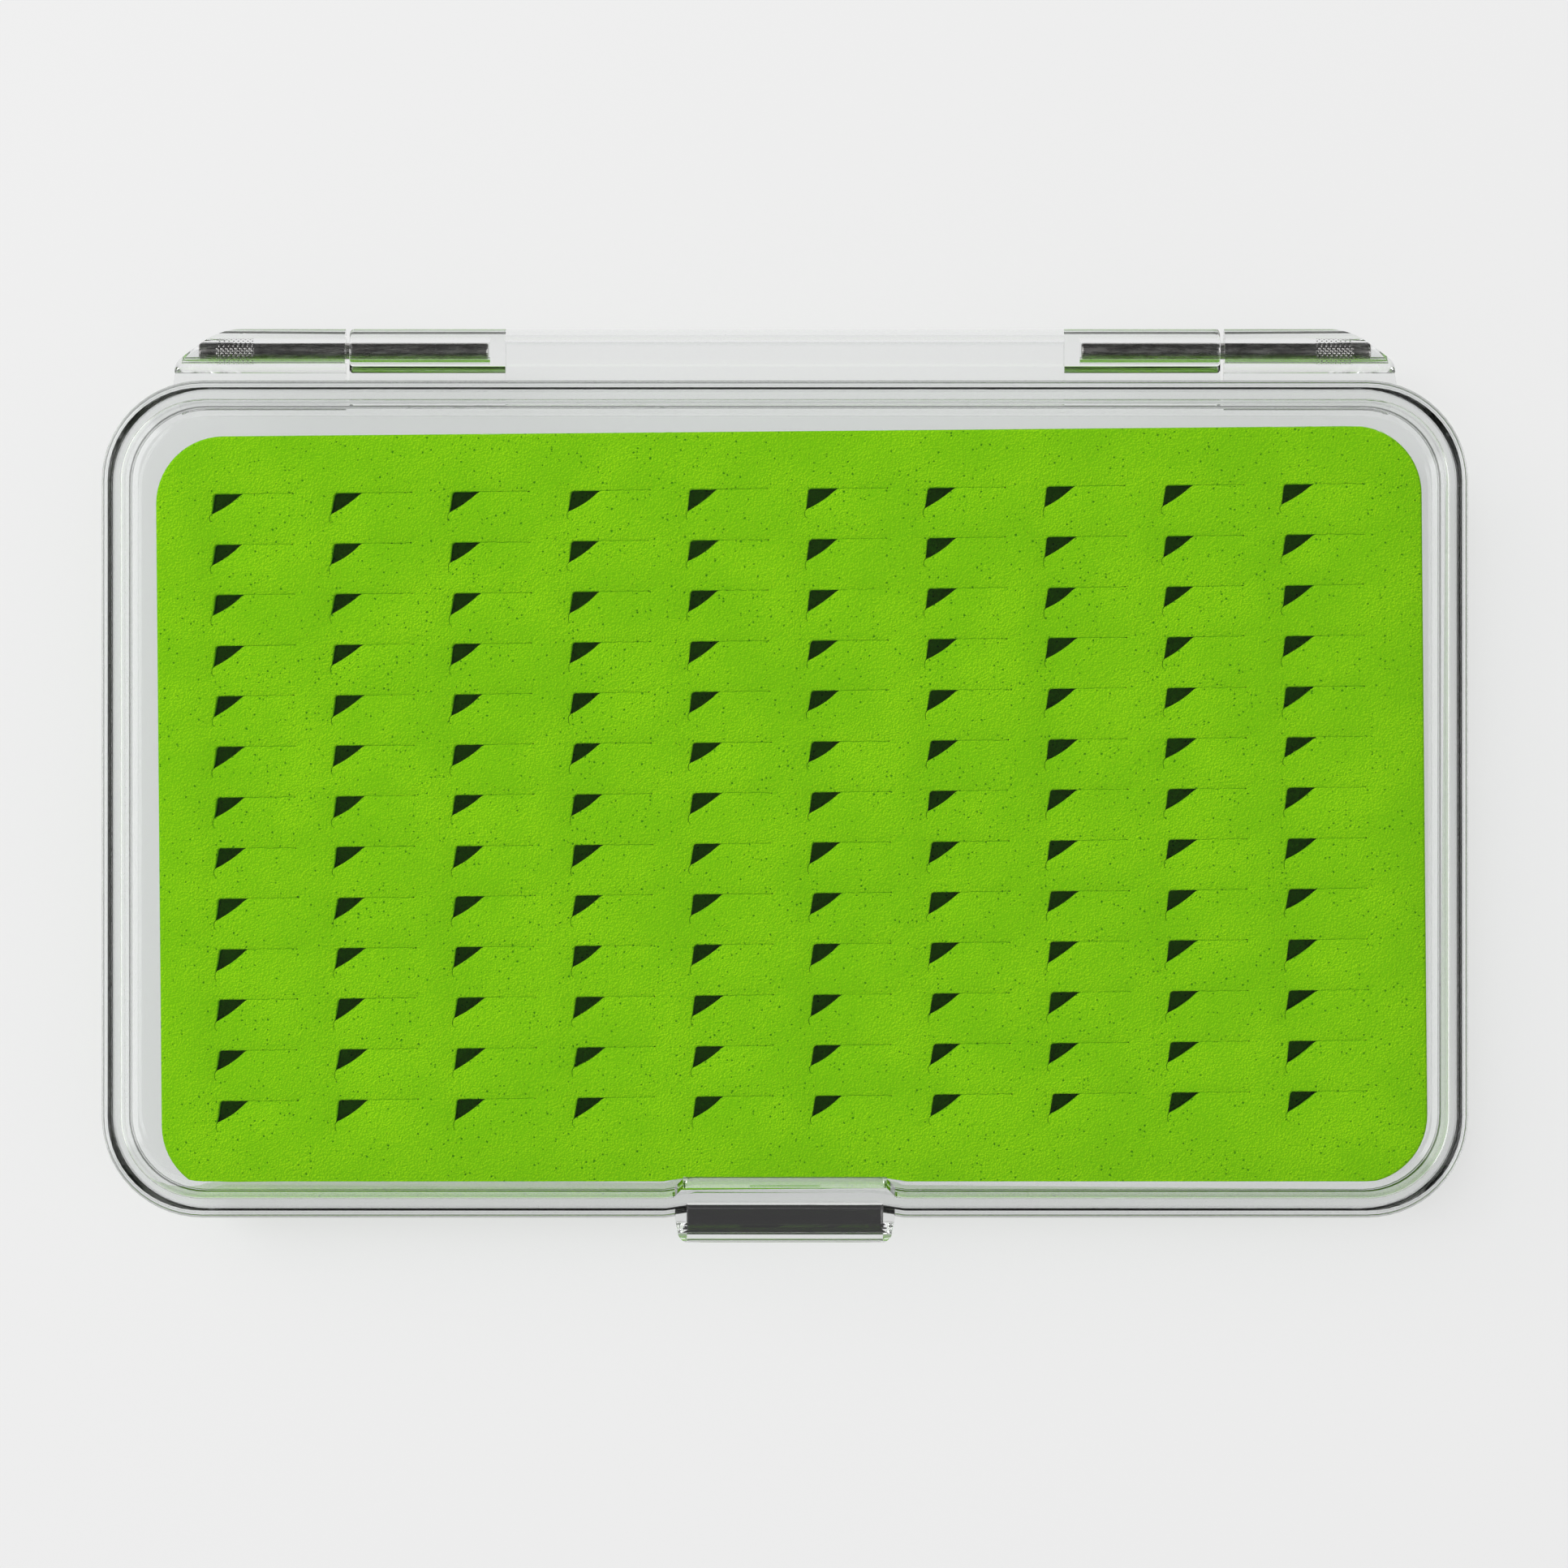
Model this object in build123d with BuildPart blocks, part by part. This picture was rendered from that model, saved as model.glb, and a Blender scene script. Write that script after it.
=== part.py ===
from build123d import *

import os
from math import atan2, radians, tan

# A slim clear fly box: two clear shells on steel hinge pins, with a slit foam pad in the base.
# Frame: +X to the right, +Y towards the hinge, +Z up. The origin is the middle of the base's
# underside. Sizes are in millimetres and angles in degrees.

# Shells
box_width = 150.0
box_depth = 91.9
base_height = 8.5
lid_height = 8.4
parting_gap = 0.1
corner_radius = 11.1
wall_thickness = 2.0
floor_thickness = 1.8
lid_plate_thickness = 1.8
base_edge_radius = 1.5
lid_edge_radius = 0.8
lid_bevel_run = 1.95
lid_bevel_drop = 0.47
lid_bevel_radius = 0.25
base_inner_radius = 0.5

# Tongue on the base's rim, in a rebate round the lid's rim
tongue_height = 1.2
tongue_thickness = 0.9
tongue_clearance = 0.15

# Bay: the shallow step in the front wall that leaves room for the latch hook
bay_depth = 0.5
bay_slope_run = 3.3
bay_corner_radius = 3.0

# Latch: a hollow tab moulded on the lid, with a hook rib that snaps under a catch on the base
tab_width = 24.1
tab_tip_width = 23.1
tab_reach = 2.8
tab_wall = 2.05
tab_bottom = 5.5
tab_corner_radius = 1.3
tab_edge_radius = 2.0
tab_foot_radius = 1.0
tab_lead_in = 0.85
tab_side_wall = 0.75
pocket_run = 2.3
pocket_angle = 42
pad_inset = 3.2
pad_bevel_run = 1.25
pad_corner = 0.85
hook_width = 18.9
hook_side_clearance = 0.35
hook_overlap = 0.3
hook_tip_height = 0.2
catch_width = 7.8
catch_reach = 0.5
catch_height = 0.75
catch_clearance = 0.15

# Hinge
hinge_setback = 3.6
barrel_radius = 2.45
knuckle_gap = 0.5
lid_knuckle_inset = 26.9
lid_knuckle_edge_radius = 0.35
lid_bore_depth = 15.5
hollow_end_inset = 1.7
hollow_skin = 1.4
base_knuckle_length = 19.1
nose_slant_run = 5.1
nose_side_run = 0.36
nose_side_reach = 2.25
nose_side_radius = 2.0
nose_rear_radius = 7.5
web_thickness = 1.7
web_gap = 0.1

# Hinge pins
pin_radius = 0.9
pin_end_chamfer = 0.2
pin_inner_clearance = 0.2
pin_recess = 2.9
pin_running_clearance = 0.07
pin_seat_clearance = 0.02
knurl_bite = 0.04
knurl_length = 5.0
knurl_from_pin_end = 1.6

# Foam pad, its backing and its adhesive film
film_thickness = 0.15
film_inset = 1.0
backing_thickness = 1.0
foam_thickness = 4.0
foam_corner_radius = 7.5
foam_side_margin = 2.85
foam_end_margin = 2.0
foam_skew = 0.52
foam_offset_x = 0.75
foam_offset_y = -1.2

# Slits: each one is an open corner, a closed cut to its right and a short relief cut below
slit_columns = 10
slit_rows = 13
slit_left_margin = 6.2
slit_right_margin = 6.6
slit_rear_margin = 6.4
slit_front_margin = 6.7
corner_width = 3.3
corner_height = 2.3
corner_lean = 0.25
corner_bow = 0.2
cut_length = 5.6
cut_width = 0.12
cut_end_radius = 0.14
relief_length = 1.2

# How near an edge or a corner has to be to the place it is looked for
SLACK = 0.01

# Places that follow from the sizes above
box_height = base_height + parting_gap + lid_height
lid_bottom = base_height + parting_gap
front_y = -box_depth / 2
rear_y = box_depth / 2
hinge_y = rear_y + hinge_setback
hinge_z = box_height / 2
tongue_inset = wall_thickness - tongue_thickness
rebate_inset = tongue_inset - tongue_clearance
bay_half_width = hook_width / 2 + hook_side_clearance
tab_tip_y = front_y - tab_reach
tab_inner_y = tab_tip_y + tab_wall
plate_bottom = box_height - lid_plate_thickness
rebate_top = lid_bottom + tongue_height + tongue_clearance
hook_tip_y = front_y + bay_depth - catch_reach + hook_overlap
hook_bottom = tab_bottom + hook_tip_y - tab_inner_y + tab_lead_in
hook_top = hook_bottom + hook_tip_height
catch_bottom = hook_top + catch_clearance
lid_knuckle_half_width = box_width / 2 - lid_knuckle_inset
hollow_half_width = lid_knuckle_half_width - lid_bore_depth - hollow_end_inset
base_knuckle_start = lid_knuckle_half_width + knuckle_gap
base_knuckle_end = base_knuckle_start + base_knuckle_length
pin_start = lid_knuckle_half_width - lid_bore_depth + pin_inner_clearance
pin_end = base_knuckle_end - pin_recess
foam_width = box_width - 2 * wall_thickness - 2 * foam_side_margin
foam_depth = box_depth - 2 * wall_thickness - 2 * foam_end_margin
film_bottom = floor_thickness
backing_bottom = film_bottom + film_thickness
foam_bottom = backing_bottom + backing_thickness
slit_width = corner_width + cut_length
slit_height = corner_height + relief_length


def shell_plan(inset):
    """The shells' outline, drawn in by inset, with the bay in the middle of its front edge."""
    edge_y = front_y + inset
    inner_x = bay_half_width + inset * tan(atan2(bay_depth, bay_slope_run) / 2)
    outer_x = inner_x + bay_slope_run
    with BuildSketch() as plan:
        RectangleRounded(box_width - 2 * inset, box_depth - 2 * inset, corner_radius - inset)
        with BuildLine():
            Polyline(
                (-outer_x, edge_y - bay_depth),
                (-outer_x, edge_y),
                (-inner_x, edge_y + bay_depth),
                (inner_x, edge_y + bay_depth),
                (outer_x, edge_y),
                (outer_x, edge_y - bay_depth),
                close=True,
            )
        make_face(mode=Mode.SUBTRACT)
        in_bay = plan.vertices().filter_by_position(Axis.X, -outer_x - SLACK, outer_x + SLACK)
        bay_corners = in_bay.filter_by_position(Axis.Y, edge_y - SLACK, edge_y + bay_depth + SLACK)
        fillet(bay_corners, bay_corner_radius)
    return plan.sketch


def edges_at_height(part, z):
    """The part's edges that lie at height z."""
    return part.edges().filter_by_position(Axis.Z, z - SLACK, z + SLACK)


def hinge_section(web_low, web_high):
    """A knuckle's section, drawn on a plane across X: the barrel and the web that carries it."""
    web_root = rear_y - wall_thickness / 2
    with BuildSketch() as section:
        with Locations((hinge_y, hinge_z)):
            Circle(barrel_radius)
        with Locations(((web_root + hinge_y) / 2, hinge_z + (web_low + web_high) / 2)):
            Rectangle(hinge_y - web_root, web_high - web_low)
    return section.sketch


def base_knuckle():
    """The base's right knuckle, with its rounded nose and the bore that grips the pin."""
    with BuildPart() as knuckle:
        with BuildSketch(Plane.YZ.offset(base_knuckle_start)):
            add(hinge_section(-web_thickness, -web_gap / 2))
        extrude(amount=base_knuckle_end - base_knuckle_start)
        root_y = rear_y - wall_thickness
        tip_y = hinge_y + barrel_radius
        side_x = base_knuckle_end - nose_side_run
        slant_x = side_x - nose_slant_run
        with BuildSketch() as plan:
            with BuildLine():
                Polyline(
                    (base_knuckle_start, root_y),
                    (base_knuckle_end, root_y),
                    (base_knuckle_end, rear_y),
                    (side_x, rear_y + nose_side_reach),
                    (slant_x, tip_y),
                    (base_knuckle_start, tip_y),
                    close=True,
                )
            make_face()
            fillet(plan.vertices().group_by(Axis.X)[-2], nose_side_radius)
            slant_end = plan.vertices().filter_by_position(Axis.X, slant_x - SLACK, slant_x + SLACK)
            fillet(slant_end, nose_rear_radius)
        extrude(amount=box_height, mode=Mode.INTERSECT)
        with BuildSketch(Plane.YZ.offset(base_knuckle_start)):
            with Locations((hinge_y, hinge_z)):
                Circle(pin_radius + pin_seat_clearance)
        extrude(amount=base_knuckle_end - base_knuckle_start, mode=Mode.SUBTRACT)
    return knuckle.part


def lid_knuckle():
    """The lid's long middle knuckle: a bored block at each end and a hollow between them."""
    half = lid_knuckle_half_width
    with BuildPart() as knuckle:
        with BuildSketch(Plane.YZ):
            add(hinge_section(web_gap / 2, web_thickness))
        extrude(amount=half, both=True)
        end_edges = knuckle.edges().filter_by(GeomType.CIRCLE)
        fillet(end_edges, lid_knuckle_edge_radius)
        with BuildSketch(Plane.YZ):
            with Locations((hinge_y, hinge_z)):
                Circle(barrel_radius - hollow_skin)
            with Locations((hinge_y, hinge_z)):
                Rectangle(
                    2 * (barrel_radius - hollow_skin),
                    2 * barrel_radius,
                    align=(Align.CENTER, Align.MAX),
                )
            with Locations((rear_y, hinge_z + barrel_radius - hollow_skin)):
                Rectangle(hinge_setback, 2 * barrel_radius, align=(Align.MIN, Align.MAX))
        extrude(amount=hollow_half_width, both=True, mode=Mode.SUBTRACT)
        for side in (-1, 1):
            with BuildSketch(Plane.YZ.offset(side * half)):
                with Locations((hinge_y, hinge_z)):
                    Circle(pin_radius + pin_running_clearance)
            extrude(amount=-side * lid_bore_depth, mode=Mode.SUBTRACT)
    return knuckle.part


def latch_tab():
    """The lid's latch tab, with the thick rim that it hangs from and its hook rib."""
    pad_y = front_y + pad_inset
    with BuildPart() as tab:
        with BuildSketch(Plane.YZ):
            with BuildLine():
                Line((pad_y + pad_bevel_run, plate_bottom), (pad_y + pad_bevel_run, box_height))
                Line((pad_y + pad_bevel_run, box_height), (tab_tip_y + tab_edge_radius, box_height))
                RadiusArc(
                    (tab_tip_y + tab_edge_radius, box_height),
                    (tab_tip_y, box_height - tab_edge_radius),
                    -tab_edge_radius,
                )
                Line((tab_tip_y, box_height - tab_edge_radius), (tab_tip_y, tab_bottom + tab_foot_radius))
                RadiusArc(
                    (tab_tip_y, tab_bottom + tab_foot_radius),
                    (tab_tip_y + tab_foot_radius, tab_bottom),
                    -tab_foot_radius,
                )
                Polyline(
                    (tab_tip_y + tab_foot_radius, tab_bottom),
                    (tab_inner_y - tab_lead_in, tab_bottom),
                    (tab_inner_y, tab_bottom + tab_lead_in),
                    (tab_inner_y, rebate_top),
                    (pad_y, rebate_top),
                    (pad_y, plate_bottom - lid_bevel_drop),
                    (pad_y + pad_bevel_run, plate_bottom),
                )
            make_face()
        extrude(amount=tab_width / 2, both=True)
        with BuildSketch():
            with BuildLine():
                Polyline(
                    (-tab_width / 2 + pad_corner, pad_y + pad_bevel_run),
                    (-tab_width / 2 + pad_corner, pad_y),
                    (-tab_width / 2, pad_y - pad_corner),
                    (-tab_width / 2, front_y),
                    (-tab_tip_width / 2, tab_tip_y),
                    (tab_tip_width / 2, tab_tip_y),
                    (tab_width / 2, front_y),
                    (tab_width / 2, pad_y - pad_corner),
                    (tab_width / 2 - pad_corner, pad_y),
                    (tab_width / 2 - pad_corner, pad_y + pad_bevel_run),
                    close=True,
                )
            make_face()
            tip_corners = vertices().filter_by_position(Axis.Y, tab_tip_y - SLACK, tab_tip_y + SLACK)
            fillet(tip_corners, tab_corner_radius)
        extrude(amount=box_height, mode=Mode.INTERSECT)
        with BuildSketch(Plane.YZ):
            with BuildLine():
                Polyline(
                    (tab_inner_y - tab_lead_in / 2, tab_bottom + tab_lead_in / 2),
                    (hook_tip_y, hook_bottom),
                    (hook_tip_y, hook_top),
                    (tab_inner_y - tab_lead_in / 2, hook_top),
                    close=True,
                )
            make_face()
        extrude(amount=hook_width / 2, both=True)
    return tab.part


def tab_pocket():
    """The hollow between the tab and the lid's wall, with a sloping ceiling."""
    pocket_y = tab_inner_y + pocket_run
    ceiling_drop = pocket_run * tan(radians(pocket_angle))
    with BuildPart() as pocket:
        with BuildSketch(Plane.YZ):
            with BuildLine():
                Polyline(
                    (pocket_y, lid_bottom - parting_gap),
                    (pocket_y, plate_bottom),
                    (tab_inner_y, plate_bottom - ceiling_drop),
                    (tab_inner_y, lid_bottom - parting_gap),
                    close=True,
                )
            make_face()
        extrude(amount=tab_tip_width / 2 - tab_side_wall, both=True)
    return pocket.part


def hinge_pin(side):
    """A steel hinge pin on one side, 1 for right and -1 for left, with its knurled band."""
    knurl_end = pin_end - knurl_from_pin_end
    with BuildPart() as pin:
        with BuildSketch(Plane.YZ.offset(side * pin_start)):
            with Locations((hinge_y, hinge_z)):
                Circle(pin_radius)
        extrude(amount=side * (pin_end - pin_start))
        chamfer(pin.edges().filter_by(GeomType.CIRCLE), pin_end_chamfer)
        with BuildSketch(Plane.YZ.offset(side * (knurl_end - knurl_length))):
            with Locations((hinge_y, hinge_z)):
                Circle(pin_radius + pin_seat_clearance + knurl_bite)
        extrude(amount=side * knurl_length)
    return pin


def slit_outline():
    """One slit's opening, from the left end of its open corner, with y 0 on the closed cut."""
    mid_x = corner_width / 2 + corner_bow
    mid_y = -corner_height / 2 - corner_bow
    with BuildSketch() as slit:
        with BuildLine():
            Polyline((corner_width, 0), (corner_lean, 0), (0, -corner_height))
            ThreePointArc((0, -corner_height), (mid_x, mid_y), (corner_width, 0))
        make_face()
        with Locations((corner_width / 2, 0)):
            Rectangle(corner_width / 2 + cut_length, cut_width, align=(Align.MIN, Align.CENTER))
        with Locations((corner_width + cut_length, 0)):
            Circle(cut_end_radius)
        with Locations((0, -corner_height + corner_lean)):
            Rectangle(cut_width, relief_length + corner_lean, align=(Align.CENTER, Align.MAX))
    return slit.sketch


def pad_plan(inset):
    """The foam pad's outline, drawn in by inset."""
    with BuildSketch() as plan:
        RectangleRounded(foam_width - 2 * inset, foam_depth - 2 * inset, foam_corner_radius)
    return plan.sketch


def pad_plane(z):
    """The pad's own plane at height z: it is glued in a little off centre and askew."""
    return Plane(origin=(foam_offset_x, foam_offset_y, z)).rotated((0, 0, foam_skew))


# The base shell
with BuildPart() as base:
    with BuildSketch():
        add(shell_plan(0))
    extrude(amount=base_height)
    fillet(edges_at_height(base, 0), base_edge_radius)
    with BuildSketch(Plane.XY.offset(floor_thickness)):
        add(shell_plan(wall_thickness))
    extrude(amount=base_height, mode=Mode.SUBTRACT)
    fillet(edges_at_height(base, floor_thickness), base_inner_radius)
    with BuildSketch(Plane.XY.offset(base_height)):
        add(shell_plan(tongue_inset))
        add(shell_plan(wall_thickness), mode=Mode.SUBTRACT)
    extrude(amount=tongue_height)
    knuckle = base_knuckle()
    add(knuckle)
    add(mirror(knuckle, about=Plane.YZ, mode=Mode.PRIVATE))
    with BuildSketch(Plane.YZ):
        wall_y = front_y + bay_depth
        with BuildLine():
            Polyline(
                (wall_y + wall_thickness / 2, catch_bottom),
                (wall_y - catch_reach, catch_bottom),
                (wall_y - catch_reach, catch_bottom + catch_height / 3),
                (wall_y, catch_bottom + catch_height),
                (wall_y + wall_thickness / 2, catch_bottom + catch_height),
                close=True,
            )
        make_face()
    extrude(amount=catch_width / 2, both=True)

# The lid shell
with BuildPart() as lid:
    with BuildSketch(Plane.XY.offset(lid_bottom)):
        add(shell_plan(0))
    extrude(amount=lid_height)
    fillet(edges_at_height(lid, box_height), lid_edge_radius)
    with BuildSketch(Plane.XY.offset(lid_bottom)):
        add(shell_plan(wall_thickness))
    extrude(amount=lid_height - lid_plate_thickness - lid_bevel_drop, mode=Mode.SUBTRACT)
    with BuildSketch(Plane.XY.offset(plate_bottom - lid_bevel_drop)):
        add(shell_plan(wall_thickness))
    with BuildSketch(Plane.XY.offset(plate_bottom)):
        add(shell_plan(wall_thickness + lid_bevel_run))
    loft(ruled=True, mode=Mode.SUBTRACT)
    fillet(edges_at_height(lid, plate_bottom - lid_bevel_drop), lid_bevel_radius)
    with BuildSketch(Plane.XY.offset(lid_bottom)):
        add(shell_plan(rebate_inset))
    extrude(amount=tongue_height + tongue_clearance, mode=Mode.SUBTRACT)
    add(lid_knuckle())
    add(latch_tab())
    add(tab_pocket(), mode=Mode.SUBTRACT)

# The foam pad
slit_pitch_x = (foam_width - slit_left_margin - slit_right_margin - slit_width) / (slit_columns - 1)
slit_pitch_y = (foam_depth - slit_rear_margin - slit_front_margin - slit_height) / (slit_rows - 1)
slit_places = [
    (
        -foam_width / 2 + slit_left_margin + column * slit_pitch_x,
        foam_depth / 2 - slit_rear_margin - row * slit_pitch_y,
    )
    for column in range(slit_columns)
    for row in range(slit_rows)
]
with BuildPart() as slit_foam:
    with BuildSketch(pad_plane(foam_bottom)):
        add(pad_plan(0))
        with Locations(*slit_places):
            add(slit_outline(), mode=Mode.SUBTRACT)
    extrude(amount=foam_thickness)

with BuildPart() as foam_backing:
    with BuildSketch(pad_plane(backing_bottom)):
        add(pad_plan(0))
    extrude(amount=backing_thickness)

with BuildPart() as adhesive_film:
    with BuildSketch(pad_plane(film_bottom)):
        add(pad_plan(film_inset))
    extrude(amount=film_thickness)

pieces = {
    "base": base,
    "lid": lid,
    "hinge_pin_left": hinge_pin(-1),
    "hinge_pin_right": hinge_pin(1),
    "slit_foam": slit_foam,
    "foam_backing": foam_backing,
    "adhesive_film": adhesive_film,
}
os.makedirs("parts", exist_ok=True)
for label, piece in pieces.items():
    piece.part.label = label
    export_step(piece.part, f"parts/{label}.step")
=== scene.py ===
"""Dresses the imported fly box: clear shells, knurled hinge pins, slit foam pad and studio."""

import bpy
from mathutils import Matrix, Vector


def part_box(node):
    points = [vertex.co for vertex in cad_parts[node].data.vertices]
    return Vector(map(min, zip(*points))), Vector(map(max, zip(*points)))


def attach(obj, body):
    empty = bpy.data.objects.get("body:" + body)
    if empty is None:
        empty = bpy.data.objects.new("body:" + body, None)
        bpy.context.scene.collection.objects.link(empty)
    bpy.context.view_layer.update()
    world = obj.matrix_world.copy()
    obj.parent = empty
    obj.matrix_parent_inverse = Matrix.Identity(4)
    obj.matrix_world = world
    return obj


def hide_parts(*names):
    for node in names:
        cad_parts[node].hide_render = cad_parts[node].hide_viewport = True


bl_info = {
    "name": "Fly Box Dressing",
    "version": (1, 0, 0),
    "blender": (4, 5, 0),
    "location": "View3D > Sidebar > Fly Box",
    "description": "Finishes a clear fly box with a slit foam pad, round its CAD frame",
    "category": "Object",
}

import random
from math import cos, pi, radians, sin

import bmesh
import bpy
from mathutils import Euler, Vector
from mathutils.geometry import delaunay_2d_cdt

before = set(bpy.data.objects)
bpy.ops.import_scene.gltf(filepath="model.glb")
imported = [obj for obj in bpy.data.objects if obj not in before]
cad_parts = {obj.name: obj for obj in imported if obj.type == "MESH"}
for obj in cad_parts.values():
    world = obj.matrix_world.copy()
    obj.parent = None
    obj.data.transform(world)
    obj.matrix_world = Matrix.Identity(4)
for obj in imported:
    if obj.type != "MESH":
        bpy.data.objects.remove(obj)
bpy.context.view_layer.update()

# Meshes are worked out in millimetres, and turned into metres when they are made.
MM = 0.001

# The section of a rounded edge: how far out from the wall and down from the top each ring lies,
# as shares of the edge's radius.
ROUND_EDGE = tuple((1 - cos(radians(turn)), 1 - sin(radians(turn))) for turn in (0, 30, 60, 90))

# Each foam's painted lit colour, its painted shaded colour, and the painted shade in its pores
GREEN_FOAM = ((0.36, 0.77, 0.006), (0.18, 0.54, 0.002), (0.035, 0.22, 0.002))
DARK_FOAM = ((0.26, 0.62, 0.05), (0.2, 0.5, 0.04), (0.06, 0.2, 0.01))

WHITE = (1.0, 1.0, 1.0, 1.0)

# The two softboxes, in degrees about the box: the turn of each one's middle, and how far to either
# side of it the light ends and is full
SOFTBOXES = ((168, 40, 30), (-8, 32, 22))

# How far the floor lies below the box, which keeps the two faces apart, in metres
FLOOR_GAP = 0.0002


# ---------------------------------------------------------------- settings


def length(name, description, default):
    """A length in metres, shown in the scene's own unit."""
    return bpy.props.FloatProperty(
        name=name, description=description, unit="LENGTH", default=default
    )


class FlyBoxShellSettings(bpy.types.PropertyGroup):
    """The clear plastic of the base and the lid."""

    tint: bpy.props.FloatVectorProperty(
        name="Tint",
        description="Colour of the clear plastic",
        subtype="COLOR",
        size=3,
        min=0.0,
        max=1.0,
        default=(0.985, 0.99, 0.992),
    )
    refraction: bpy.props.FloatProperty(
        name="Refraction",
        description="Index of refraction of the plastic",
        default=1.57,
        min=1.3,
        max=1.8,
    )
    wear: bpy.props.FloatProperty(
        name="Wear",
        description="How strongly scuffs and hairline scratches show on the shells",
        subtype="FACTOR",
        default=0.3,
        min=0.0,
        max=1.0,
    )


class FlyBoxPadSettings(bpy.types.PropertyGroup):
    """The slit foam pad and its backing."""

    width: length("Width", "Length of the pad along the hinge", 0.1403)
    depth: length("Depth", "Length of the pad from hinge to latch", 0.0839)
    corner_radius: length("Corner radius", "Radius of the pad's corners", 0.0075)
    bottom: length("Bottom", "Height of the green foam's underside", 0.00295)
    thickness: length("Thickness", "Thickness of the green foam", 0.004)
    backing: length("Backing", "Thickness of the backing foam", 0.001)
    offset: bpy.props.FloatVectorProperty(
        name="Offset",
        description="Where the pad's middle lies from the middle of the base",
        subtype="TRANSLATION",
        unit="LENGTH",
        size=2,
        default=(0.00075, -0.0012),
    )
    skew: bpy.props.FloatProperty(
        name="Skew",
        description="How far the pad is glued in askew",
        subtype="ANGLE",
        unit="ROTATION",
        default=radians(0.52),
    )
    columns: bpy.props.IntProperty(name="Columns", description="Slits in a row", default=10, min=1)
    rows: bpy.props.IntProperty(name="Rows", description="Slits in a column", default=13, min=1)
    left_margin: length("Left margin", "Foam left of the first slit", 0.0062)
    rear_margin: length("Rear margin", "Foam behind the first slit", 0.0064)
    pitch_x: length("Pitch along a row", "From slit to slit in a row", 0.013178)
    pitch_y: length("Pitch of the rows", "From row to row", 0.005608)
    corner_width: length("Opening width", "Width of a slit's open corner", 0.0033)
    corner_height: length("Opening height", "Height of a slit's open corner", 0.0023)
    cut_length: length("Cut length", "Length of a slit's closed cut", 0.0056)
    cut_width: length("Cut width", "Width of a slit's closed cut", 0.000014)
    edge_radius: length("Edge radius", "Rounding of the pad's outer edge", 0.0003)
    seed: bpy.props.IntProperty(
        name="Seed", description="Seed of the slits' small differences", default=7
    )


class FlyBoxPinSettings(bpy.types.PropertyGroup):
    """The steel hinge pins."""

    radius: length("Radius", "Radius of a hinge pin", 0.0009)
    inner_end: length("Inner end", "Where a pin starts, from the middle", 0.0328)
    outer_end: length("Outer end", "Where a pin ends, from the middle", 0.0648)
    end_round: length("End rounding", "Rounding of a pin's ends", 0.0002)
    knurl_start: length("Knurl start", "Where the knurl starts, from the middle", 0.0586)
    knurl_length: length("Knurl length", "Length of the knurl", 0.0044)
    knurl_depth: length("Knurl depth", "Depth of the knurl's grooves", 0.00007)


class FlyBoxStageSettings(bpy.types.PropertyGroup):
    """The floor, the light and the camera."""

    floor_colour: bpy.props.FloatVectorProperty(
        name="Floor colour",
        description="Colour of the floor and of what lies beyond it",
        subtype="COLOR",
        size=3,
        min=0.0,
        max=1.0,
        default=(0.863, 0.863, 0.863),
    )
    floor_size: length("Floor size", "Side of the square floor", 6.0)
    side_light: bpy.props.FloatProperty(
        name="Side light", description="Brightness of the softboxes at half height", default=2.6
    )
    low_light: bpy.props.FloatProperty(
        name="Low light",
        description="Brightness of the softboxes down at the box's own level",
        default=1.1,
    )
    dark_light: bpy.props.FloatProperty(
        name="Dark light",
        description="Brightness of the room in front, behind and above",
        default=0.045,
    )
    fill_light: bpy.props.FloatProperty(
        name="Fill light", description="Brightness of the soft light on matt pieces", default=0.45
    )
    key_power: bpy.props.FloatProperty(
        name="Key power",
        description="Power of the lamp at the rear left",
        subtype="POWER",
        unit="POWER",
        default=14.0,
    )
    camera_height: length("Camera height", "Height of the camera over the floor", 0.915)
    camera_offset: bpy.props.FloatVectorProperty(
        name="Camera offset",
        description="Where the camera stands from the middle of the base",
        subtype="TRANSLATION",
        unit="LENGTH",
        size=2,
        default=(-0.0001, 0.00164),
    )
    camera_lens: bpy.props.FloatProperty(
        name="Lens", description="Focal length of the camera", unit="CAMERA", default=188.0
    )


# ---------------------------------------------------------------- node helpers


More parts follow.
